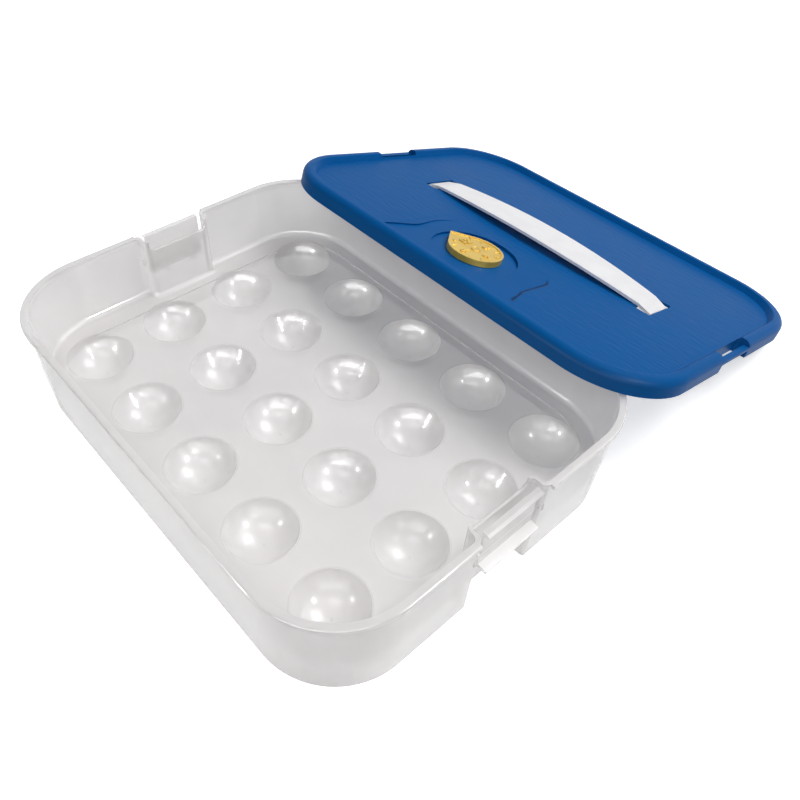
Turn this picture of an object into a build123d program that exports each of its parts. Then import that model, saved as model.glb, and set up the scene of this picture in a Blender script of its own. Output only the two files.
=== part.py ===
"""Egg keeper: a clear tub with moulded egg cups and two end latches, and a blue lid that leans
on the tub's rear rim, with a strap handle and a date dial."""

from math import asin, cos, radians, sin, tan

from build123d import *
import os

os.makedirs("parts", exist_ok=True)

# ---------------------------------------------------------------- tub
rim_length = 326.0
rim_width = 253.0
rim_height = 66.5
rim_corner = 53.0
rim_overhang = 2.4
rim_thickness = 2.4
rim_edge_round = 0.9
tub_wall = 2.0
tub_draft = 0.6
floor_height = 21.0
floor_thickness = 3.4
floor_round = 3.5

# cup field: a shallow step in the floor that the cups sit in
field_length = 280.0
field_width = 221.0
field_corner = 32.0
field_drop = 1.2

# egg cups, set by the blunt end of a large egg; the underside is a few straight bands
cup_pitch_x = 60.0
cup_pitch_y = 57.0
cups_x = 5
cups_y = 4
cup_radius = 22.2
cup_wall = 1.8
cup_ground_gap = 1.7
cup_band_angle = 26.0

# ---------------------------------------------------------------- end pockets and latches
pocket_width = 47.0
pocket_depth = 9.6
pocket_corner = 3.0
pocket_lip_round = 3.4
pocket_mouth_round = 4.0
pocket_top_drop = 7.1
pocket_top_round = 3.5
pocket_top_edge_round = 0.7
socket_boss_radius = 3.6
socket_boss_height = 1.6
socket_depth = 2.8

latch_side_gap = 2.7
latch_thickness = 2.0
latch_pivot_height = 47.0
latch_pivot_setback = 2.6
latch_bottom = 36.0
latch_nose_thickness = 1.6
latch_nose_catch = 1.0
latch_hold_gap = 0.2
latch_grip_height = 3.2
latch_grip_reach = 5.8
latch_top_side_gap = 0.8
trunnion_radius = 1.2
running_clearance = 0.3
trunnion_end_gap = 0.5
stop_rib_width = 3.0
stop_rib_spacing = 22.0
stop_rib_height = 6.0

# ---------------------------------------------------------------- lid, built on its own leaning plane
lid_fit_gap = 0.5
lid_height = 11.6
lid_skirt_draft = 1.5
lid_skirt_wall = 1.8
crown_width = 8.0
crown_round = 5.0
crown_inner_round = 1.2
crown_thickness = 1.8
crown_slope = 35.0
channel_inner_gap = 0.4
panel_top = 7.4
panel_thickness = 1.8
lean_gap = 0.25
lean_rest_gap = 0.1
skirt_crossing = 17.6

notch_wall = 1.6
notch_side_gap = 0.4
notch_latch_gap = 1.5
notch_corner = 1.2
bar_thickness = 4.4
bar_height = 2.4
bar_bottom = 5.4

# ---------------------------------------------------------------- tray round the dial
tray_depth = 1.0
tray_start = -47.0
tray_deepest = -86.0
tray_half_width = 50.0

# ---------------------------------------------------------------- strap handle
strap_length = 212.0
strap_end_width = 24.0
strap_mid_width = 36.0
strap_thickness = 2.0
strap_bow = 4.5
strap_seat_gap = 0.3
strap_end_reach = 11.0
strap_end_drop = 3.0
strap_head_width = 39.0
strap_head_length = 7.0
strap_head_thickness = 1.4
strap_travel = 3.0
slot_length = 33.0
slot_end_gap = 1.0
slot_corner = 1.0

# ---------------------------------------------------------------- date dial
dial_x = -3.0
dial_y = -76.0
dial_well_radius = 31.5
dial_well_depth = 2.0
dial_well_floor = 1.2
dial_radius = 20.0
dial_thickness = 4.2
dial_rim_width = 1.6
dial_rim_height = 0.6
dial_tip_reach = 27.0
dial_tip_round = 0.8
dial_tip_angle = 174.0
dial_gap = 0.3
stem_radius = 5.0
stem_flange_radius = 7.0
stem_flange_thickness = 1.4
stem_flange_slope = 12.0

# ---------------------------------------------------------------- derived tub sizes
body_length = rim_length - 2 * rim_overhang
body_width = rim_width - 2 * rim_overhang
body_corner = rim_corner - rim_overhang
draft_shift = rim_height * sin(radians(tub_draft))
foot_length = body_length - 2 * draft_shift
foot_width = body_width - 2 * draft_shift
foot_corner = body_corner - draft_shift
floor_shift = floor_height * sin(radians(tub_draft))
field_height = floor_height - field_drop
floor_underside = floor_height - floor_thickness
cup_centre_height = cup_ground_gap + cup_wall + cup_radius
cup_shell_radius = cup_radius + cup_wall
cup_band_reach = cup_shell_radius / cos(radians(cup_band_angle / 2))
cup_shell_top = (floor_underside + field_height) / 2
pocket_face = body_length / 2 - pocket_depth
pocket_top = rim_height - pocket_top_drop
pocket_half = pocket_width / 2

# ---------------------------------------------------------------- derived lid sizes
lid_side_gap = lid_skirt_wall + lid_fit_gap
lid_length = rim_length + 2 * lid_side_gap
lid_width = rim_width + 2 * lid_side_gap
lid_corner = rim_corner + lid_side_gap
panel_underside = panel_top - panel_thickness
crown_underside = lid_height - crown_thickness
well_underside = panel_top - dial_well_depth - dial_well_floor
closed_lid_height = rim_height - crown_underside

# the lid leans with its far edge on the table: its skirt passes just over the rim's rear corners,
# and the underside of its dial well lies on the rear rim
lean = asin((rim_height + lean_gap) / (lid_width - skirt_crossing))
rest_height = well_underside - lean_rest_gap
lean_overlap = (rest_height - rim_height * cos(lean)) / sin(lean) + lid_width * cos(lean)
lid_centre_z = lid_width / 2 * sin(lean)
lid_centre_y = rim_width / 2 - lean_overlap + lid_width / 2 * cos(lean)
lid_plane = Plane(
    origin=(0, lid_centre_y, lid_centre_z),
    x_dir=(1, 0, 0),
    z_dir=(0, sin(lean), cos(lean)),
)
lid_side_plane = Plane(
    origin=(0, lid_centre_y, lid_centre_z),
    x_dir=(1, 0, 0),
    z_dir=(0, -cos(lean), sin(lean)),
)
lid_cross_plane = Plane(
    origin=(0, lid_centre_y, lid_centre_z),
    x_dir=(0, cos(lean), -sin(lean)),
    z_dir=(1, 0, 0),
)

# the crossbar stands just outside the latch plate, and the latch's nose hooks over it
latch_width = pocket_width - 2 * latch_side_gap
latch_pivot_x = body_length / 2 - latch_pivot_setback
latch_plate_inner = latch_pivot_x - latch_thickness / 2
latch_plate_outer = latch_pivot_x + latch_thickness / 2
latch_nose_underside = closed_lid_height + bar_bottom + bar_height + latch_hold_gap
latch_top = latch_nose_underside + latch_nose_thickness
bar_outer = lid_length / 2 - 0.2
bar_inner = bar_outer - bar_thickness
latch_nose_x = bar_inner + latch_nose_catch
notch_inner = latch_plate_inner - notch_latch_gap
notch_width = pocket_width - 2 * notch_side_gap - 2 * notch_wall
notch_reach = lid_length / 2 - notch_inner
notch_centre = (lid_length / 2 + notch_inner) / 2
skirt_lean = crown_underside * tan(radians(lid_skirt_draft))
channel_length = lid_length - 2 * lid_skirt_wall - 2 * skirt_lean
channel_width = lid_width - 2 * lid_skirt_wall - 2 * skirt_lean
channel_corner = lid_corner - lid_skirt_wall
channel_inset = lid_side_gap + rim_overhang + tub_wall + channel_inner_gap
slot_width = strap_end_reach + slot_end_gap
slot_centre = strap_length / 2 + slot_end_gap - slot_width / 2
strap_tab_centre = strap_length / 2 - strap_thickness / 2
strap_head_top = panel_underside - strap_travel - strap_seat_gap
stop_rib_root = 0.2
stop_rib_reach = latch_plate_inner + stop_rib_root - pocket_face - running_clearance


def upright_at_pocket_mouth(edge: Edge) -> bool:
    """True for the four upright corner edges where a pocket meets the end wall's inside."""
    middle = edge.center()
    near_side = abs(abs(middle.Y) - pocket_half - tub_wall) < 0.1
    near_end = abs(middle.X) > pocket_face + tub_wall
    return near_side and near_end and edge.length > floor_height


def along_recess_top(edge: Edge) -> bool:
    """True for the long top edges of the two recess walls behind the latches."""
    middle = edge.center()
    level = abs(middle.Z - pocket_top) < 0.01
    at_wall = pocket_face - tub_wall - 0.1 < abs(middle.X) < pocket_face + 0.1
    return level and at_wall and edge.length > latch_width / 2


def lid_height_of(face: Face) -> float:
    """Height of a face's centre above the lid's skirt plane."""
    return lid_plane.to_local_coords(face.center()).Z


# ---------------------------------------------------------------- tub tools
with BuildPart() as pocket_block:
    with BuildSketch() as pocket_plan:
        with Locations((body_length / 2, 0), (-body_length / 2, 0)):
            RectangleRounded(2 * pocket_depth, pocket_width, pocket_corner)
        with Locations((body_length / 2 + pocket_depth, 0), (-body_length / 2 - pocket_depth, 0)):
            Rectangle(2 * pocket_depth, pocket_width + 2 * pocket_lip_round + 0.2)
        mouth = pocket_plan.vertices().filter_by_position(Axis.Y, -pocket_half - 0.01, pocket_half + 0.01)
        right_mouth = mouth.filter_by_position(Axis.X, body_length / 2 - 0.01, body_length / 2 + 0.01)
        left_mouth = mouth.filter_by_position(Axis.X, -body_length / 2 - 0.01, -body_length / 2 + 0.01)
        fillet(right_mouth + left_mouth, radius=pocket_lip_round)
    extrude(amount=rim_height)

with BuildPart() as pocket_liner:
    with BuildSketch():
        with Locations((body_length / 2, 0), (-body_length / 2, 0)):
            RectangleRounded(
                2 * (pocket_depth + tub_wall),
                pocket_width + 2 * tub_wall,
                pocket_corner + tub_wall,
            )
    extrude(amount=rim_height)

with BuildPart() as tub_inside:
    with BuildSketch(Plane.XY.offset(floor_height)):
        RectangleRounded(
            foot_length + 2 * floor_shift - 2 * tub_wall,
            foot_width + 2 * floor_shift - 2 * tub_wall,
            foot_corner + floor_shift - tub_wall,
        )
    extrude(amount=rim_height - floor_height, taper=-tub_draft)
    add(pocket_liner.part, mode=Mode.SUBTRACT)
    fillet(tub_inside.edges().filter_by(upright_at_pocket_mouth), radius=pocket_mouth_round)
    fillet(tub_inside.faces().sort_by(Axis.Z)[0].edges(), radius=floor_round)

with BuildPart() as foot_inside:
    with BuildSketch():
        RectangleRounded(
            foot_length - 2 * tub_wall,
            foot_width - 2 * tub_wall,
            foot_corner - tub_wall,
        )
    extrude(amount=floor_underside, taper=-tub_draft)
    add(pocket_liner.part, mode=Mode.SUBTRACT)

# bowl underside: straight bands that touch a sphere one wall outside the bowl
with BuildPart() as cup_shell:
    with BuildSketch(Plane.XZ):
        with BuildLine():
            Polyline(
                (0, cup_shell_top),
                (cup_band_reach * sin(radians(2.5 * cup_band_angle)), cup_shell_top),
                *[
                    (
                        cup_band_reach * sin(radians(step * cup_band_angle)),
                        cup_centre_height - cup_band_reach * cos(radians(step * cup_band_angle)),
                    )
                    for step in (2.5, 1.5, 0.5)
                ],
                (0, cup_ground_gap),
                close=True,
            )
        make_face()
    revolve(axis=Axis.Z)

# ---------------------------------------------------------------- tub
with BuildPart() as tub:
    with BuildSketch():
        RectangleRounded(foot_length, foot_width, foot_corner)
    extrude(amount=rim_height, taper=-tub_draft)
    with BuildSketch(Plane.XY.offset(rim_height)):
        RectangleRounded(rim_length, rim_width, rim_corner)
    extrude(amount=-rim_thickness)
    fillet(
        tub.edges().filter_by(Plane.XY).filter_by_position(Axis.Z, rim_height - 0.1, rim_height + 0.1),
        radius=rim_edge_round,
    )
    add(tub_inside.part, mode=Mode.SUBTRACT)
    add(foot_inside.part, mode=Mode.SUBTRACT)
    add(pocket_block.part, mode=Mode.SUBTRACT)
    with BuildSketch(Plane.YZ) as pocket_opening:
        with Locations((0, (pocket_top + rim_height) / 2 + 1)):
            Rectangle(latch_width + 2 * latch_top_side_gap, rim_height - pocket_top + 2)
        fillet(pocket_opening.vertices().group_by(Axis.Y)[0], radius=pocket_top_round)
    extrude(amount=rim_length / 2, both=True, mode=Mode.SUBTRACT)
    fillet(tub.edges().filter_by(along_recess_top), radius=pocket_top_edge_round)
    with BuildSketch(Plane.XY.offset(floor_height)):
        RectangleRounded(field_length, field_width, field_corner)
    extrude(amount=-field_drop, mode=Mode.SUBTRACT)
    with GridLocations(cup_pitch_x, cup_pitch_y, cups_x, cups_y):
        add(cup_shell.part)
    with Locations((0, 0, cup_centre_height)):
        with GridLocations(cup_pitch_x, cup_pitch_y, cups_x, cups_y):
            Sphere(cup_radius, mode=Mode.SUBTRACT)
    for side in (-1, 1):
        boss_plane = Plane(
            origin=(0, side * pocket_half, latch_pivot_height),
            x_dir=(1, 0, 0),
            z_dir=(0, side, 0),
        )
        with BuildSketch(boss_plane.offset(tub_wall)):
            with Locations((latch_pivot_x, 0), (-latch_pivot_x, 0)):
                Circle(socket_boss_radius)
        extrude(amount=socket_boss_height)
        with BuildSketch(boss_plane):
            with Locations((latch_pivot_x, 0), (-latch_pivot_x, 0)):
                Circle(trunnion_radius + running_clearance)
        extrude(amount=socket_depth, mode=Mode.SUBTRACT)


# ---------------------------------------------------------------- end latches
latch_plane = Plane(origin=(0, latch_width / 2, 0), x_dir=(1, 0, 0), z_dir=(0, -1, 0))

with BuildPart() as end_latch_right:
    with BuildSketch(latch_plane) as latch_profile:
        with BuildLine():
            Polyline(
                (latch_plate_inner, latch_bottom),
                (latch_plate_outer + latch_grip_reach, latch_bottom),
                (latch_plate_outer + latch_grip_reach, latch_bottom + latch_grip_height * 0.6),
                (latch_plate_outer, latch_bottom + latch_grip_height),
                (latch_plate_outer, latch_nose_underside),
                (latch_nose_x, latch_nose_underside),
                (latch_nose_x, latch_nose_underside + latch_nose_thickness * 0.4),
                (latch_nose_x - latch_nose_thickness, latch_top),
                (latch_plate_inner, latch_top),
                close=True,
            )
        make_face()
        fillet(latch_profile.vertices().sort_by(Axis.Y)[:2], radius=0.6)
    extrude(amount=latch_width)
    with BuildSketch(Plane(origin=(0, 0, latch_bottom + 1))) as stop_ribs:
        with Locations((pocket_face + running_clearance + stop_rib_reach / 2, 0)):
            with GridLocations(0, stop_rib_spacing, 1, 2):
                Rectangle(stop_rib_reach, stop_rib_width)
    extrude(amount=stop_rib_height)
    with BuildSketch(Plane(origin=(latch_pivot_x, 0, latch_pivot_height), z_dir=(0, 1, 0))):
        Circle(trunnion_radius)
    extrude(amount=pocket_half + socket_depth - trunnion_end_gap, both=True)

with BuildPart() as end_latch_left:
    mirror(end_latch_right.part, about=Plane.YZ)


# ---------------------------------------------------------------- lid
with BuildPart() as lid_form:
    with BuildSketch(lid_plane):
        RectangleRounded(lid_length, lid_width, lid_corner)
    extrude(amount=lid_height, taper=lid_skirt_draft)
    crown_edges = lid_form.faces().filter_by(GeomType.PLANE).sort_by(lambda f: -lid_height_of(f))[0].edges()
    fillet(crown_edges, radius=crown_round)
    # recessed panel, with a sloping side down from the crown
    with BuildSketch(lid_plane.offset(lid_height)):
        RectangleRounded(
            lid_length - 2 * crown_width,
            lid_width - 2 * crown_width,
            lid_corner - crown_width,
        )
    extrude(amount=-(lid_height - panel_top), taper=crown_slope, mode=Mode.SUBTRACT)
    crown_face = lid_form.faces().filter_by(GeomType.PLANE).sort_by(lambda f: -lid_height_of(f))[0]
    fillet(crown_face.inner_wires()[0].edges(), radius=crown_inner_round)

with BuildPart() as notch_walls:
    with BuildSketch(lid_plane):
        with Locations((notch_centre - notch_wall / 2, 0), (-notch_centre + notch_wall / 2, 0)):
            Rectangle(notch_reach + notch_wall, notch_width + 2 * notch_wall)
    extrude(amount=lid_height)
    add(lid_form.part, mode=Mode.INTERSECT)

with BuildPart() as tray_cut:
    with BuildSketch(lid_cross_plane):
        with BuildLine():
            Polyline(
                (tray_start, panel_top),
                (tray_deepest, panel_top - tray_depth),
                (-lid_width / 2 + crown_width, panel_top - tray_depth),
                (-lid_width / 2 + crown_width, panel_top),
                close=True,
            )
        make_face()
    extrude(amount=lid_length / 2, both=True)
    with BuildSketch(lid_plane.offset(panel_top)) as tray_outline:
        with BuildLine():
            right_edge = Spline(
                (tray_half_width - 8, tray_start + 2),
                (tray_half_width - 1, tray_start - 13),
                (tray_half_width, tray_start - 26),
                (tray_half_width - 1, tray_start - 39),
                (tray_half_width + 2, tray_start - 49),
                (tray_half_width + 9, -lid_width / 2 + crown_width),
            )
            left_edge = mirror(right_edge, about=Plane.YZ)
            Line(right_edge @ 0, left_edge @ 0)
            Line(right_edge @ 1, left_edge @ 1)
        make_face()
    extrude(amount=-tray_depth - 1, mode=Mode.INTERSECT)

with BuildPart() as lid:
    add(lid_form.part)
    # hollow underside: the flat part under the panel, then the channel under the crown
    with BuildSketch(lid_plane):
        RectangleRounded(
            lid_length - 2 * lid_skirt_wall,
            lid_width - 2 * lid_skirt_wall,
            lid_corner - lid_skirt_wall,
        )
    extrude(amount=panel_underside, taper=lid_skirt_draft, mode=Mode.SUBTRACT)
    with BuildSketch(lid_plane.offset(panel_underside - 0.2)):
        RectangleRounded(channel_length, channel_width, channel_corner)
        RectangleRounded(
            lid_length - 2 * channel_inset,
            lid_width - 2 * channel_inset,
            lid_corner - channel_inset,
            mode=Mode.SUBTRACT,
        )
    extrude(amount=crown_underside - panel_underside + 0.2, mode=Mode.SUBTRACT)
    # walls round each end notch, the notch itself, and its crossbar
    add(notch_walls.part)
    with BuildSketch(lid_plane):
        with Locations((notch_centre + notch_wall, 0), (-notch_centre - notch_wall, 0)):
            RectangleRounded(notch_reach + 2 * notch_wall, notch_width, notch_corner)
    extrude(amount=lid_height, mode=Mode.SUBTRACT)
    with BuildSketch(lid_plane.offset(bar_bottom)):
        with Locations(((bar_inner + bar_outer) / 2, 0), (-(bar_inner + bar_outer) / 2, 0)):
            Rectangle(bar_thickness, notch_width + notch_wall)
    extrude(amount=bar_height)
    # shallow tray, dial well with its stem hole, and the two strap slots
    add(tray_cut.part, mode=Mode.SUBTRACT)
    with BuildSketch(lid_plane.offset(well_underside)):
        with Locations((dial_x, dial_y)):
            Circle(dial_well_radius + panel_thickness)
    extrude(amount=panel_underside - well_underside + 0.2)
    with BuildSketch(lid_plane.offset(panel_top)):
        with Locations((dial_x, dial_y)):
            Circle(dial_well_radius)
    extrude(amount=-dial_well_depth, mode=Mode.SUBTRACT)
    with BuildSketch(lid_plane.offset(panel_top)):
        with Locations((dial_x, dial_y)):
            Circle(stem_radius + dial_gap)
    extrude(amount=-panel_top, mode=Mode.SUBTRACT)
    with BuildSketch(lid_plane.offset(panel_top)):
        with Locations((slot_centre, 0), (-slot_centre, 0)):
            RectangleRounded(slot_width, slot_length, slot_corner)
    extrude(amount=-(panel_thickness + 1), mode=Mode.SUBTRACT)


# ---------------------------------------------------------------- strap handle
strap_underside = panel_top + strap_seat_gap
strap_top = strap_underside + strap_thickness
strap_bend = strap_length / 2 - strap_end_reach

with BuildPart() as strap_handle:
    with BuildSketch(lid_side_plane):
        with BuildLine():
            ThreePointArc(
                (-strap_bend, strap_underside),
                (0, strap_underside + strap_bow),
                (strap_bend, strap_underside),
            )
            Polyline(
                (strap_bend, strap_underside),
                (strap_length / 2, strap_underside - strap_end_drop),
                (strap_length / 2, strap_top - strap_end_drop),
                (strap_bend, strap_top),
            )
            ThreePointArc(
                (strap_bend, strap_top),
                (0, strap_top + strap_bow),
                (-strap_bend, strap_top),
            )
            Polyline(
                (-strap_bend, strap_top),
                (-strap_length / 2, strap_top - strap_end_drop),
                (-strap_length / 2, strap_underside - strap_end_drop),
                (-strap_bend, strap_underside),
            )
        make_face()
    extrude(amount=strap_mid_width / 2 + 1, both=True)
    with BuildSketch(lid_plane):
        with BuildLine():
            ThreePointArc(
                (-strap_length / 2, strap_end_width / 2),
                (0, strap_mid_width / 2),
                (strap_length / 2, strap_end_width / 2),
            )
            Line((strap_length / 2, strap_end_width / 2), (strap_length / 2, -strap_end_width / 2))
            ThreePointArc(
                (strap_length / 2, -strap_end_width / 2),
                (0, -strap_mid_width / 2),
                (-strap_length / 2, -strap_end_width / 2),
            )
            Line((-strap_length / 2, -strap_end_width / 2), (-strap_length / 2, strap_end_width / 2))
        make_face()
    extrude(amount=4 * lid_height, mode=Mode.INTERSECT)
    # end tabs through the slots, and the heads that catch under the panel
    with BuildSketch(lid_plane.offset(strap_head_top)):
        with Locations((strap_tab_centre, 0), (-strap_tab_centre, 0)):
            Rectangle(strap_thickness, strap_end_width)
    extrude(amount=strap_underside - strap_end_drop + strap_thickness / 2 - strap_head_top)
    with BuildSketch(lid_plane.offset(strap_head_top)):
        with Locations((strap_tab_centre, 0), (-strap_tab_centre, 0)):
            RectangleRounded(strap_head_length, strap_head_width, 1.5)
    extrude(amount=-strap_head_thickness)


# ---------------------------------------------------------------- date dial
dial_plane = Plane(
    origin=lid_plane.from_local_coords((dial_x, dial_y, 0)),
    x_dir=lid_plane.x_dir,
    z_dir=lid_plane.z_dir,
)
dial_base = panel_top - dial_well_depth + dial_gap
tip_x = dial_radius * dial_radius / dial_tip_reach
tip_y = (dial_radius * dial_radius - tip_x * tip_x) ** 0.5

with BuildSketch() as dial_leaf:
    Circle(dial_radius)
    with BuildLine():
        Polyline((dial_tip_reach, 0), (tip_x, tip_y), (tip_x, -tip_y), close=True)
    make_face()
    fillet(dial_leaf.vertices().sort_by(Axis.X)[-1], radius=dial_tip_round)

with BuildPart() as date_dial:
    with BuildSketch(dial_plane.offset(dial_base)):
        with Locations(Rotation(0, 0, dial_tip_angle)):
            add(dial_leaf.sketch)
    extrude(amount=dial_thickness - dial_rim_height)
    with BuildSketch(dial_plane.offset(dial_base + dial_thickness - dial_rim_height)) as dial_rim:
        with Locations(Rotation(0, 0, dial_tip_angle)):
            add(dial_leaf.sketch)
        offset(amount=-dial_rim_width, mode=Mode.SUBTRACT)
    extrude(amount=dial_rim_height)
    with BuildSketch(dial_plane.offset(dial_base)):
        Circle(stem_radius)
    extrude(amount=-(dial_base - well_underside + dial_gap + stem_flange_thickness))
    with BuildSketch(dial_plane.offset(well_underside - dial_gap)):
        Circle(stem_flange_radius)
    extrude(amount=-stem_flange_thickness, taper=stem_flange_slope)


# ---------------------------------------------------------------- the row, centred on its own footprint
row_near = tub.part.bounding_box().min.Y
row_far = lid.part.bounding_box().max.Y
to_row_centre = Location((0, -(row_near + row_far) / 2, 0))

tub.part.move(to_row_centre)
tub.part.label = "tub"
export_step(tub.part, "parts/tub.step")

end_latch_right.part.move(to_row_centre)
end_latch_right.part.label = "end_latch_right"
export_step(end_latch_right.part, "parts/end_latch_right.step")

end_latch_left.part.move(to_row_centre)
end_latch_left.part.label = "end_latch_left"
export_step(end_latch_left.part, "parts/end_latch_left.step")

lid.part.move(to_row_centre)
lid.part.label = "lid"
export_step(lid.part, "parts/lid.step")

strap_handle.part.move(to_row_centre)
strap_handle.part.label = "strap_handle"
export_step(strap_handle.part, "parts/strap_handle.step")

date_dial.part.move(to_row_centre)
date_dial.part.label = "date_dial"
export_step(date_dial.part, "parts/date_dial.step")
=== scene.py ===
"""Dresses the egg keeper.

The clear tub with its egg cups, its end latches, the blue leaning lid, the strap and the dial come
from the frame and are never moved. The dial's raised relief is the one piece made here.
"""

import logging
from dataclasses import dataclass, field
from enum import Enum
from math import cos, pi, radians, sin

import bpy
from mathutils import Matrix, Vector


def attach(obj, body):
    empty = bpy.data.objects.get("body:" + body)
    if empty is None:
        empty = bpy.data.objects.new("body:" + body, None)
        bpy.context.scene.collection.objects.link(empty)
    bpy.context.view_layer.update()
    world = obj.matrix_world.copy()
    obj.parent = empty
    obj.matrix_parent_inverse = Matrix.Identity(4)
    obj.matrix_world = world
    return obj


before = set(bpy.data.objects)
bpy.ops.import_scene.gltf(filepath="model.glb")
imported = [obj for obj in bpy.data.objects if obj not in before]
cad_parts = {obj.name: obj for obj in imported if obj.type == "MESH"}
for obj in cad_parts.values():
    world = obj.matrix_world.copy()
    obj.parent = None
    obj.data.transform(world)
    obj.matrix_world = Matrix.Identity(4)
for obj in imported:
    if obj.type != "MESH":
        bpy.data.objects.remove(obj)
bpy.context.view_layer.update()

MM = 0.001
TUB_Y = -108.3955  # the tub's middle, in millimetres
NOISE_MEAN = 0.5
CLOUD_EDGES = (0.3, 0.7)  # the part of a noise's range that a cloud's colour spans
WHITE = (1, 1, 1, 1)
UPWARD = 0.9  # least Z of the normal of a face that looks up
CLEAR_BOUNCES = 24  # many clear walls stand one behind another
DIFFUSE_BOUNCES = 8
LOG = logging.getLogger("egg_keeper")


class Body(Enum):
    """The moving bodies that new pieces ride on."""

    DIAL = "dial"


class Slot(Enum):
    """Material slots of the record; nothing here reads them, and the relief takes the dial's finish
    directly.
    """

    DIAL = "gold_dial"


# ---------------------------------------------------------------- shader maths
class Value:
    """One shader socket; arithmetic on it adds Math nodes to its material."""

    def __init__(self, shader: "Shader", socket: bpy.types.NodeSocket) -> None:
        """Wraps a socket.

        Args:
            shader: The material that the socket belongs to.
            socket: The output socket.
        """
        self.shader = shader
        self.socket = socket

    def _math(self, operation: str, *terms: "Value | float") -> "Value":
        """Adds one Math node.

        Args:
            operation: The Math node's operation.
            *terms: The node's inputs in order.

        Returns:
            The node's output.
        """
        settings = {"operation": operation}
        node = self.shader.node("ShaderNodeMath", settings, dict(enumerate(terms)))
        return Value(self.shader, node.outputs[0])

    def __add__(self, other: "Value | float") -> "Value":
        """Sum."""
        return self._math("ADD", self, other)

    def __radd__(self, other: float) -> "Value":
        """Sum with a number on the left."""
        return self._math("ADD", other, self)

    def __sub__(self, other: "Value | float") -> "Value":
        """Difference."""
        return self._math("SUBTRACT", self, other)

    def __rsub__(self, other: float) -> "Value":
        """Difference from a number."""
        return self._math("SUBTRACT", other, self)

    def __mul__(self, other: "Value | float") -> "Value":
        """Product."""
        return self._math("MULTIPLY", self, other)

    def __rmul__(self, other: float) -> "Value":
        """Product with a number on the left."""
        return self._math("MULTIPLY", other, self)

    def abs(self) -> "Value":
        """Absolute value."""
        return self._math("ABSOLUTE", self)

    def smaller(self, other: "Value | float") -> "Value":
        """Lesser of two values."""
        return self._math("MINIMUM", self, other)

    def larger(self, other: "Value | float") -> "Value":
        """Greater of two values."""
        return self._math("MAXIMUM", self, other)

    def root(self) -> "Value":
        """Square root."""
        return self._math("SQRT", self)

    def wrapped(self, pitch: float) -> "Value":
        """Signed distance to the nearest multiple of a pitch."""
        return self._math("WRAP", self, pitch / 2, -pitch / 2)

    def sine(self) -> "Value":
        """Sine of the value in radians."""
        return self._math("SINE", self)

    def step(self, low: float, high: float) -> "Value":
        """Smooth step from 0 at low to 1 at high.

        Args:
            low: Where the step starts.
            high: Where it ends; below low for a falling step.

        Returns:
            The stepped value.
        """
        settings = {"interpolation_type": "SMOOTHSTEP"}
        sockets = {0: self, 1: min(low, high), 2: max(low, high)}
        node = self.shader.node("ShaderNodeMapRange", settings, sockets)
        rising = Value(self.shader, node.outputs[0])
        return rising if high > low else 1 - rising


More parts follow.
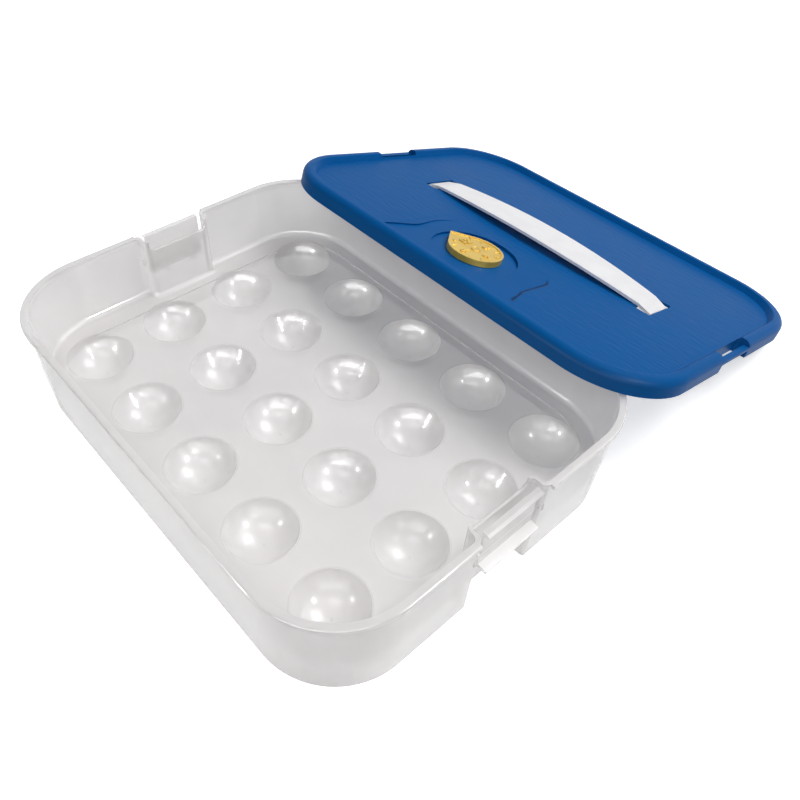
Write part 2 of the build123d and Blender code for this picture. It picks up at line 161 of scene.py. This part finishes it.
class Shader:
    """A node material under construction."""

    def __init__(self, name: str) -> None:
        """Makes an empty node material.

        Args:
            name: The material's name.
        """
        self.material = bpy.data.materials.new(name)
        self.material.use_nodes = True
        self.tree = self.material.node_tree
        self.tree.nodes.clear()

    def node(
        self, kind: str, settings: dict | None = None, sockets: dict | None = None
    ) -> bpy.types.Node:
        """Adds a node, sets it up, then fills its sockets.

        Args:
            kind: The node's type name.
            settings: Attributes to set first.
            sockets: Input name or index to a value or a link.

        Returns:
            The node.
        """
        made = self.tree.nodes.new(kind)
        for key, value in (settings or {}).items():
            setattr(made, key, value)
        for key, value in (sockets or {}).items():
            if isinstance(value, Value):
                self.tree.links.new(value.socket, made.inputs[key])
            elif isinstance(value, bpy.types.NodeSocket):
                self.tree.links.new(value, made.inputs[key])
            else:
                made.inputs[key].default_value = value
        return made

    def place(self) -> bpy.types.NodeSocket:
        """Object coordinates in metres."""
        return self.node("ShaderNodeTexCoord").outputs["Object"]

    def turned(self, centre: Vector, tilt: float) -> bpy.types.NodeSocket:
        """Object coordinates about a centre, turned back about X by a tilt.

        Args:
            centre: The new origin in metres.
            tilt: The piece's tilt about X in radians.

        Returns:
            The turned coordinates.
        """
        settings = {"vector_type": "TEXTURE"}
        sockets = {"Vector": self.place(), "Location": centre, "Rotation": (tilt, 0, 0)}
        return self.node("ShaderNodeMapping", settings, sockets).outputs[0]

    def stretched(self, vector: bpy.types.NodeSocket, scale: tuple) -> bpy.types.NodeSocket:
        """Scales a vector by three factors."""
        settings = {"operation": "MULTIPLY"}
        return self.node("ShaderNodeVectorMath", settings, {0: vector, 1: scale}).outputs[0]

    def axes(self, vector: bpy.types.NodeSocket) -> tuple[Value, Value, Value]:
        """Splits a vector into its three values."""
        parts = self.node("ShaderNodeSeparateXYZ", None, {0: vector}).outputs
        return Value(self, parts[0]), Value(self, parts[1]), Value(self, parts[2])

    def noise(self, vector: bpy.types.NodeSocket, scale: float, detail: float = 3.0) -> Value:
        """Noise at a scale in cells per metre."""
        sockets = {"Vector": vector, "Scale": scale, "Detail": detail}
        return Value(self, self.node("ShaderNodeTexNoise", None, sockets).outputs["Fac"])

    def blend(
        self, factor: Value, first: "tuple | bpy.types.NodeSocket", second: tuple
    ) -> bpy.types.NodeSocket:
        """Mixes two colours.

        Args:
            factor: 0 for the first colour, 1 for the second.
            first: A colour or a link to one.
            second: A colour.

        Returns:
            The mixed colour.
        """
        # The colour sockets share their names with the number sockets, so they go by index.
        start = (*first, 1.0) if isinstance(first, tuple) else first
        sockets = {"Factor": factor, 6: start, 7: (*second, 1.0)}
        return self.node("ShaderNodeMix", {"data_type": "RGBA"}, sockets).outputs[2]

    def bump(self, height: Value, distance: float) -> bpy.types.NodeSocket:
        """Turns a height into a normal.

        Args:
            height: The height, in units of the distance.
            distance: The depth of one unit in metres.

        Returns:
            The bent normal.
        """
        sockets = {"Height": height, "Distance": distance, "Strength": 1.0}
        return self.node("ShaderNodeBump", None, sockets).outputs[0]

    def finish(self, sockets: dict) -> bpy.types.Material:
        """Closes the material with a Principled shader.

        Args:
            sockets: The shader's inputs.

        Returns:
            The finished material.
        """
        shader = self.node("ShaderNodeBsdfPrincipled", None, sockets)
        self.node("ShaderNodeOutputMaterial", None, {"Surface": shader.outputs[0]})
        return self.material


# ---------------------------------------------------------------- finishes
@dataclass(frozen=True)
class ClearPlastic:
    """Milky see-through plastic of the tub and the latches."""

    name: str
    body: tuple[float, float, float] = (0.84, 0.82, 0.82)
    haze: tuple[float, float, float] = (0.90, 0.88, 0.875)
    density: float = 0.50
    floor_density: float = 0.06
    cup_density: float = -0.08
    rim_density: float = 0.12
    roughness: float = 0.34
    coat_roughness: float = 0.09
    ior: float = 1.49
    cloud_scale: float = 14.0
    cloud_density: float = 0.06
    cloud_roughness: float = 0.08
    grain_scale: float = 900.0
    grain_depth: float = 0.00002
    rim_height: tuple[float, float] = (0.0630, 0.0645)
    cups: bool = True
    floor_length: tuple[float, float] = (0.1560, 0.1500)
    floor_width: tuple[float, float] = (0.1200, 0.1140)
    floor_height: tuple[float, float] = (0.0260, 0.0200)
    cup_pitch: tuple[float, float] = (0.060, 0.057)
    cup_edge: tuple[float, float] = (0.0228, 0.0218)
    gate_edge: tuple[float, float] = (0.0013, 0.0008)
    gate_depth: float = 12.0
    # darkening of the gate dot: painted shade in its dimple
    gate_shade: float = 0.5
    nub_edge: tuple[float, float] = (0.0006, 0.0003)
    nub_rise: float = 10.0

    def material(self) -> bpy.types.Material:
        """Builds the material.

        Returns:
            The material.
        """
        shader = Shader(self.name)
        where = shader.place()
        along, across, height = shader.axes(where)
        across = across - TUB_Y * MM
        cloud = shader.noise(where, self.cloud_scale)
        relief = shader.noise(where, self.grain_scale, detail=2.0)
        rim = height.step(*self.rim_height)
        alpha = self.density + (cloud - NOISE_MEAN) * self.cloud_density + rim * self.rim_density
        shade = cloud.step(*CLOUD_EDGES)
        if self.cups:
            inside = along.abs().step(*self.floor_length) * across.abs().step(*self.floor_width)
            inside = inside * height.step(*self.floor_height)
            pitch_x, pitch_y = self.cup_pitch
            cup_x = along.wrapped(pitch_x)
            cup_y = (across + pitch_y / 2).wrapped(pitch_y)
            reach = (cup_x * cup_x + cup_y * cup_y).root()
            bowl = reach.step(*self.cup_edge) * inside
            alpha = alpha + inside * self.floor_density + bowl * self.cup_density
            gate = reach.step(*self.gate_edge) * inside
            nub = reach.step(*self.nub_edge) * inside
            relief = relief - gate * self.gate_depth + nub * self.nub_rise
            # The gate dot is darkened: painted shade in its dimple.
            shade = shade - gate * self.gate_shade
        return shader.finish(
            {
                "Base Color": shader.blend(shade, self.body, self.haze),
                "Roughness": self.roughness + (cloud - NOISE_MEAN) * self.cloud_roughness,
                "Alpha": alpha,
                "Normal": shader.bump(relief, self.grain_depth),
                "Coat Weight": 1.0,
                "Coat Roughness": self.coat_roughness,
                "IOR": self.ior,
            }
        )


@dataclass(frozen=True)
class LidPlastic:
    """Blue plastic, a fine wavy grain on the recessed panel, and a painted shade line at the tray's
    step.
    """

    name: str
    centre: Vector
    tilt: float
    base: tuple[float, float, float] = (0.0010, 0.090, 0.315)
    light: tuple[float, float, float] = (0.0018, 0.104, 0.350)
    # colour of the painted shade line along the tray's step
    shade: tuple[float, float, float] = (0.0006, 0.030, 0.110)
    roughness: float = 0.40
    cloud_scale: float = 22.0
    cloud_roughness: float = 0.12
    specular: float = 0.036
    ior: float = 1.45
    panel: tuple[float, float] = (0.1530, 0.1165)
    panel_border: float = 0.003
    panel_height: tuple[float, float] = (0.0060, 0.0070)
    tray_middle: float = -0.003
    tray_half: tuple[float, float] = (0.054, 0.050)
    tray_start: tuple[float, float] = (-0.044, -0.050)
    wave_rate: float = 1750.0
    wave_wander: float = 24.0
    wave_rise: float = 0.35
    wander_stretch: tuple[float, float, float] = (0.5, 1.0, 1.0)
    wander_scale: float = 90.0
    streak_stretch: tuple[float, float, float] = (0.28, 1.0, 1.0)
    streak_scale: float = 300.0
    streak_rise: float = 4.5
    ripple_rise: float = 0.6
    pebble_scale: float = 700.0
    pebble_rise: float = 0.22
    crease_out: float = 0.042
    crease_swings: tuple[tuple[float, float, float], ...] = (
        (-0.045, -0.062, 0.0075),
        (-0.088, -0.098, 0.0025),
        (-0.098, -0.121, 0.0070),
    )
    crease_start: tuple[float, float] = (-0.051, -0.060)
    crease_end: tuple[float, float] = (-0.108, -0.103)
    crease_side: tuple[float, float] = (0.038, 0.044)
    crease_width: tuple[float, float] = (0.0017, 0.0005)
    crease_depth: float = 2.0
    relief_depth: float = 0.00009

    def _grain(
        self, shader: Shader, where: bpy.types.NodeSocket, along: Value, across: Value, level: Value
    ) -> Value:
        """Waves and streaks on the panel outside the tray, and a pebble all over.

        Args:
            shader: The material under construction.
            where: Lid coordinates.
            along: Distance along the lid.
            across: Distance across the lid.
            level: Height over the skirt's lower plane.

        Returns:
            The grain's height.
        """
        length, width = self.panel
        inside = along.abs().step(length, length - self.panel_border)
        inside = inside * across.abs().step(width, width - self.panel_border)
        tray = (along - self.tray_middle).abs().step(*self.tray_half)
        tray = tray * across.step(*self.tray_start)
        wavy = inside * (1 - tray) * level.step(*self.panel_height)
        drawn = shader.stretched(where, self.wander_stretch)
        wander = shader.noise(drawn, self.wander_scale, detail=2.0)
        ripple = (across * self.wave_rate + wander * self.wave_wander).sine() * self.wave_rise
        drawn = shader.stretched(where, self.streak_stretch)
        streak = shader.noise(drawn, self.streak_scale, detail=1.0)
        ripple = ripple + streak * self.streak_rise
        pebble = shader.noise(where, self.pebble_scale, detail=2.0)
        return ripple * wavy * self.ripple_rise + pebble * self.pebble_rise

    def _crease(self, along: Value, across: Value) -> Value:
        """Thin line along the right edge of the tray's S-shaped step: a shallow dent and painted
        shade.

        Each swing takes the line further out between two distances across the lid.

        Args:
            along: Distance along the lid.
            across: Distance across the lid.

        Returns:
            1 on the line, 0 off it.
        """
        edge = self.crease_out
        for start, end, reach in self.crease_swings:
            edge = across.step(start, end) * reach + edge
        ends = across.step(*self.crease_start) * across.step(*self.crease_end)
        right = along.step(*self.crease_side)
        return right * ends * (edge - along).abs().step(*self.crease_width)

    def material(self) -> bpy.types.Material:
        """Builds the material.

        Returns:
            The material.
        """
        shader = Shader(self.name)
        where = shader.turned(self.centre, self.tilt)
        along, across, level = shader.axes(where)
        cloud = shader.noise(where, self.cloud_scale)
        # The crease line dents the bump a little and is painted shade in the colour.
        crease_and_painted_shade = self._crease(along, across)
        height = self._grain(shader, where, along, across, level) - crease_and_painted_shade * self.crease_depth
        blue = shader.blend(cloud, self.base, self.light)
        return shader.finish(
            {
                "Base Color": shader.blend(crease_and_painted_shade, blue, self.shade),
                "Roughness": self.roughness + (cloud - NOISE_MEAN) * self.cloud_roughness,
                "Normal": shader.bump(height, self.relief_depth),
                "IOR": self.ior,
                "Specular IOR Level": self.specular,
            }
        )


@dataclass(frozen=True)
class SatinPlastic:
    """Plain satin plastic with slight clouding and a fine grain."""

    name: str
    dark: tuple[float, float, float]
    light: tuple[float, float, float]
    roughness: float
    metallic: float = 0.0
    ior: float = 1.49
    cloud_scale: float = 60.0
    cloud_roughness: float = 0.1
    grain_scale: float = 1200.0
    grain_depth: float = 0.00002

    def material(self) -> bpy.types.Material:
        """Builds the material.

        Returns:
            The material.
        """
        shader = Shader(self.name)
        where = shader.place()
        cloud = shader.noise(where, self.cloud_scale)
        fine = shader.noise(where, self.grain_scale, detail=2.0)
        return shader.finish(
            {
                "Base Color": shader.blend(cloud.step(*CLOUD_EDGES), self.dark, self.light),
                "Roughness": self.roughness + (cloud - NOISE_MEAN) * self.cloud_roughness,
                "Metallic": self.metallic,
                "Normal": shader.bump(fine, self.grain_depth),
                "IOR": self.ior,
            }
        )


def dress(node: str, material: bpy.types.Material) -> None:
    """Puts a material on a frame node.

    Args:
        node: The node's name.
        material: The finish.
    """
    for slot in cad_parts[node].material_slots:
        slot.material = material
    LOG.info("dressed %s with %s", node, material.name)


# ---------------------------------------------------------------- sub-assemblies
@dataclass
class LidPlace:
    """Where the leaning lid lies, in millimetres and degrees."""

    width: float = 257.6
    middle_y: float = 109.3121
    lean: float = 16.14833

    @property
    def tilt(self) -> float:
        """Lean in radians; the lid's far side is low."""
        return radians(self.lean)

    @property
    def centre(self) -> Vector:
        """Centre of the skirt's lower plane, in metres."""
        return Vector((0, self.middle_y * MM, self.width / 2 * sin(self.tilt) * MM))

    def matrix(self) -> Matrix:
        """Lid coordinates in metres to the row frame."""
        return Matrix.Translation(self.centre) @ Matrix.Rotation(-self.tilt, 4, "X")


@dataclass
class ClearTub:
    """The tub and its two end latches."""

    plastic: ClearPlastic = field(default_factory=lambda: ClearPlastic("tub_plastic"))
    clip: ClearPlastic = field(
        default_factory=lambda: ClearPlastic(
            "clip_plastic", density=0.44, rim_density=0.0, cups=False
        )
    )

    def build(self) -> None:
        """Dresses the tub and the latches."""
        dress("tub", self.plastic.material())
        clip = self.clip.material()
        dress("end_latch_right", clip)
        dress("end_latch_left", clip)


@dataclass
class DialRelief:
    """Plain raised numbers, month marks and a hub ring on the date dial."""

    place: LidPlace
    finish: bpy.types.Material
    middle: tuple[float, float] = (-3.0, -76.0)
    face: float = 9.3
    number_ring: float = 10.9
    number_size: float = 9.2
    mark_ring: float = 15.9
    mark_size: tuple[float, float] = (1.0, 3.2)
    hub_radius: float = 3.6
    rise: float = 0.75
    sink: float = 0.1
    turn: float = 174.0
    month_step: float = 30.0
    stroke_swell: float = 0.22
    stroke_bevel: float = 0.12
    mark_bevel: float = 0.22
    hub_wall: float = 0.9
    hub_slope: float = 0.5
    hub_sink: float = 0.45
    hub_bevel: float = 0.2
    hub_sides: int = 40
    curve_steps: int = 4
    bevel_steps: int = 2
    smooth_angle: float = 35.0

    def _spot(self, angle: float, reach: float) -> Matrix:
        """Place on the dial, turned so that up points away from its middle.

        Args:
            angle: Direction from the dial's middle in radians.
            reach: Distance from the dial's middle in millimetres.

        Returns:
            The place as a matrix.
        """
        spot = Vector(
            (
                (self.middle[0] + reach * cos(angle)) * MM,
                (self.middle[1] + reach * sin(angle)) * MM,
                (self.face - self.sink) * MM,
            )
        )
        turn = Matrix.Rotation(angle - pi / 2, 4, "Z")
        return self.place.matrix() @ Matrix.Translation(spot) @ turn

    def _settle(self, made: bpy.types.Object, place: Matrix) -> bpy.types.Object:
        """Applies a piece's place to its mesh.

        Args:
            made: The piece, active and selected.
            place: Where it goes.

        Returns:
            The piece, at the origin.
        """
        made.matrix_world = place @ made.matrix_world
        bpy.ops.object.transform_apply(location=True, rotation=True, scale=True)
        return made

    def _number(self, number: int, angle: float) -> bpy.types.Object:
        """Makes one raised number.

        Args:
            number: The number to write.
            angle: Its direction from the dial's middle in radians.

        Returns:
            The number as a mesh, at the origin.
        """
        bpy.ops.object.select_all(action="DESELECT")
        bpy.ops.object.text_add(location=(0, 0, self.rise / 2 * MM))
        made = bpy.context.object
        made.data.body = str(number)
        made.data.align_x = "CENTER"
        made.data.align_y = "CENTER"
        made.data.size = self.number_size * MM
        made.data.extrude = self.rise / 2 * MM
        made.data.offset = self.stroke_swell * MM
        made.data.bevel_depth = self.stroke_bevel * MM
        made.data.resolution_u = self.curve_steps
        bpy.ops.object.convert(target="MESH")
        return self._settle(bpy.context.object, self._spot(angle, self.number_ring))

    def _mark(self, angle: float) -> bpy.types.Object:
        """Makes one raised month mark with softened edges.

        Args:
            angle: Its direction from the dial's middle in radians.

        Returns:
            The mark, at the origin.
        """
        bpy.ops.object.select_all(action="DESELECT")
        wide, long = self.mark_size
        scale = (wide * MM, long * MM, self.rise * MM)
        middle = (0, 0, self.rise / 2 * MM)
        bpy.ops.mesh.primitive_cube_add(size=1.0, location=middle, scale=scale)
        bpy.ops.object.transform_apply(location=True, rotation=True, scale=True)
        bpy.ops.object.mode_set(mode="EDIT")
        bpy.ops.mesh.select_all(action="SELECT")
        bpy.ops.mesh.bevel(offset=self.mark_bevel * MM, segments=self.bevel_steps)
        bpy.ops.object.mode_set(mode="OBJECT")
        return self._settle(bpy.context.object, self._spot(angle, self.mark_ring))

    def _hub(self) -> bpy.types.Object:
        """Makes the round hub with its sunk middle.

        Returns:
            The hub, at the origin.
        """
        bpy.ops.object.select_all(action="DESELECT")
        bpy.ops.mesh.primitive_cylinder_add(
            vertices=self.hub_sides,
            radius=self.hub_radius * MM,
            depth=self.rise * MM,
            location=(0, 0, self.rise / 2 * MM),
        )
        bpy.ops.object.transform_apply(location=True, rotation=True, scale=True)
        made = bpy.context.object
        bpy.ops.object.mode_set(mode="EDIT")
        bpy.ops.mesh.select_mode(type="FACE")
        bpy.ops.mesh.select_all(action="DESELECT")
        bpy.ops.object.mode_set(mode="OBJECT")
        for face in made.data.polygons:
            face.select = face.normal.z > UPWARD
        bpy.ops.object.mode_set(mode="EDIT")
        bpy.ops.mesh.inset(thickness=self.hub_wall * MM)
        bpy.ops.mesh.inset(thickness=self.hub_slope * MM)
        bpy.ops.transform.translate(value=(0, 0, -self.hub_sink * MM))
        bpy.ops.object.mode_set(mode="OBJECT")
        softened = made.modifiers.new("softened", "BEVEL")
        softened.width = self.hub_bevel * MM
        softened.segments = self.bevel_steps
        bpy.ops.object.modifier_apply(modifier=softened.name)
        return self._settle(made, self._spot(0.0, 0.0))

    def build(self) -> None:
        """Makes the whole relief as one piece on the dial."""
        raised = [self._hub()]
        for month in range(1, 13):
            angle = radians(self.turn - self.month_step * month)
            raised.append(self._mark(angle) if month % 3 else self._number(month, angle))
        bpy.ops.object.select_all(action="DESELECT")
        for piece in raised:
            piece.select_set(True)
        bpy.context.view_layer.objects.active = raised[0]
        bpy.ops.object.join()
        relief = bpy.context.object
        relief.name = "dial_relief"
        relief.data.materials.clear()
        relief.data.materials.append(self.finish)
        bpy.ops.object.shade_smooth_by_angle(angle=radians(self.smooth_angle))
        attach(relief, Body.DIAL.value)
        LOG.info("made %s", relief.name)


@dataclass
class BlueLid:
    """The lid, its strap handle and its date dial."""

    place: LidPlace = field(default_factory=LidPlace)

    def build(self) -> None:
        """Dresses the lid, the strap and the dial."""
        lid = LidPlastic("lid_plastic", self.place.centre, -self.place.tilt)
        dress("lid", lid.material())
        white = SatinPlastic(
            "strap_plastic", dark=(0.85, 0.85, 0.87), light=(0.90, 0.90, 0.915), roughness=0.4
        )
        dress("strap_handle", white.material())
        gold = SatinPlastic(
            "dial_plastic",
            dark=(0.66, 0.435, 0.060),
            light=(0.74, 0.505, 0.082),
            roughness=0.32,
            metallic=0.25,
        ).material()
        dress("date_dial", gold)
        DialRelief(self.place, gold).build()


@dataclass
class Studio:
    """Floor, soft lamps and the camera."""

    focal: float = 746.39
    pixels: float = 800.0
    axis_x: float = 367.62
    axis_y: float = 412.51
    eye: tuple[float, float, float] = (0.26297, -0.31014, 0.36948)
    right: tuple[float, float, float] = (0.66424, 0.74689, 0.03054)
    ahead: tuple[float, float, float] = (-0.48745, 0.46375, -0.73982)
    sensor: float = 36.0
    floor_size: float = 12.0
    floor_gap: float = 0.0002
    floor_colour: tuple[float, float, float, float] = (0.8, 0.8, 0.8, 1)
    glow: float = 0.65
    glow_behind: float = 0.25
    fill: float = 0.17

    def camera(self) -> None:
        """Makes the camera."""
        data = bpy.data.cameras.new("camera")
        data.sensor_width = self.sensor
        data.lens = self.focal / self.pixels * data.sensor_width
        data.shift_x = (self.pixels / 2 - self.axis_x) / self.pixels
        data.shift_y = (self.axis_y - self.pixels / 2) / self.pixels
        camera = bpy.data.objects.new("camera", data)
        bpy.context.collection.objects.link(camera)
        right = Vector(self.right).normalized()
        back = -Vector(self.ahead).normalized()
        up = back.cross(right).normalized()
        right = up.cross(back)
        turn = Matrix((right, up, back)).transposed().to_4x4()
        camera.matrix_world = Matrix.Translation(self.eye) @ turn
        bpy.context.scene.camera = camera

    @staticmethod
    def lamp(name: str, place: tuple, size: tuple, power: float, shine: bool = False) -> None:
        """Makes one soft lamp that faces the tub.

        Args:
            name: The lamp's name.
            place: Its position in metres.
            size: Its width and height in metres.
            power: Its power in watts.
            shine: True for a lamp that only shows in reflections.
        """
        data = bpy.data.lights.new(name, "AREA")
        data.shape = "RECTANGLE"
        data.size, data.size_y = size
        data.energy = power
        lamp = bpy.data.objects.new(name, data)
        bpy.context.collection.objects.link(lamp)
        tub = Vector((0, TUB_Y * MM, 0))
        facing = (tub - Vector(place)).to_track_quat("-Z", "Y")
        lamp.matrix_world = Matrix.Translation(place) @ facing.to_matrix().to_4x4()
        lamp.visible_camera = False
        lamp.visible_diffuse = not shine

    def floor(self) -> None:
        """Makes the white floor, which keeps the object's shadow."""
        bpy.ops.object.select_all(action="DESELECT")
        bpy.ops.mesh.primitive_plane_add(size=self.floor_size, location=(0, 0, -self.floor_gap))
        floor = bpy.context.object
        floor.name = "floor"
        shader = Shader("floor_white")
        diffuse = shader.node("ShaderNodeBsdfDiffuse", None, {"Color": self.floor_colour})
        glow = shader.node("ShaderNodeEmission", None, {"Color": WHITE, "Strength": self.glow})
        lit = shader.node("ShaderNodeAddShader", None, {0: diffuse.outputs[0], 1: glow.outputs[0]})
        path = shader.node("ShaderNodeLightPath")
        camera = Value(shader, path.outputs["Is Camera Ray"])
        behind = Value(shader, path.outputs["Transparent Depth"]).smaller(1.0)
        glossy = Value(shader, path.outputs["Is Glossy Ray"])
        clear = Value(shader, path.outputs["Is Transmission Ray"])
        seen = (camera * (1 - behind * self.glow_behind)).larger(glossy).larger(clear)
        mix = shader.node(
            "ShaderNodeMixShader", None, {0: seen, 1: diffuse.outputs[0], 2: lit.outputs[0]}
        )
        shader.node("ShaderNodeOutputMaterial", None, {"Surface": mix.outputs[0]})
        floor.data.materials.append(shader.material)

    def world(self) -> None:
        """Makes the pale surroundings, white where they are seen or mirrored."""
        world = bpy.data.worlds.new("studio")
        world.use_nodes = True
        nodes, link = world.node_tree.nodes, world.node_tree.links.new
        fill, white = nodes["Background"], nodes.new("ShaderNodeBackground")
        for background, strength in ((fill, self.fill), (white, 1.0)):
            background.inputs["Color"].default_value = WHITE
            background.inputs["Strength"].default_value = strength
        path = nodes.new("ShaderNodeLightPath")
        seen = path.outputs["Is Camera Ray"]
        for name in ("Is Glossy Ray", "Is Transmission Ray"):
            larger = nodes.new("ShaderNodeMath")
            larger.operation = "MAXIMUM"
            link(seen, larger.inputs[0])
            link(path.outputs[name], larger.inputs[1])
            seen = larger.outputs[0]
        mix = nodes.new("ShaderNodeMixShader")
        link(seen, mix.inputs[0])
        link(fill.outputs[0], mix.inputs[1])
        link(white.outputs[0], mix.inputs[2])
        link(mix.outputs[0], nodes["World Output"].inputs["Surface"])
        bpy.context.scene.world = world

    def build(self) -> None:
        """Builds the whole studio."""
        self.floor()
        self.world()
        right, near = TUB_Y * MM + 0.130, TUB_Y * MM - 0.500
        self.lamp("key", (0.35, 1.05, 1.50), size=(1.0, 1.0), power=22.5)
        self.lamp("softbox", (0.26, -0.56, 0.86), size=(0.62, 0.26), power=2.3)
        self.lamp("near_panel", (0.78, -0.95, 0.42), size=(1.8, 0.60), power=44.0, shine=True)
        self.lamp("shine_right", (0.500, right, 0.370), size=(0.06, 0.10), power=5.0, shine=True)
        self.lamp("shine_near", (-0.080, near, 0.235), size=(0.05, 0.08), power=4.0, shine=True)
        self.camera()
        LOG.info("studio ready")


def main() -> None:
    """Builds every part of the scene in order."""
    logging.basicConfig(level=logging.INFO)
    scene = bpy.context.scene
    scene.view_settings.view_transform = "Standard"
    scene.cycles.transparent_max_bounces = CLEAR_BOUNCES
    scene.cycles.diffuse_bounces = DIFFUSE_BOUNCES
    ClearTub().build()
    BlueLid().build()
    Studio().build()


if __name__ == "__main__":
    main()
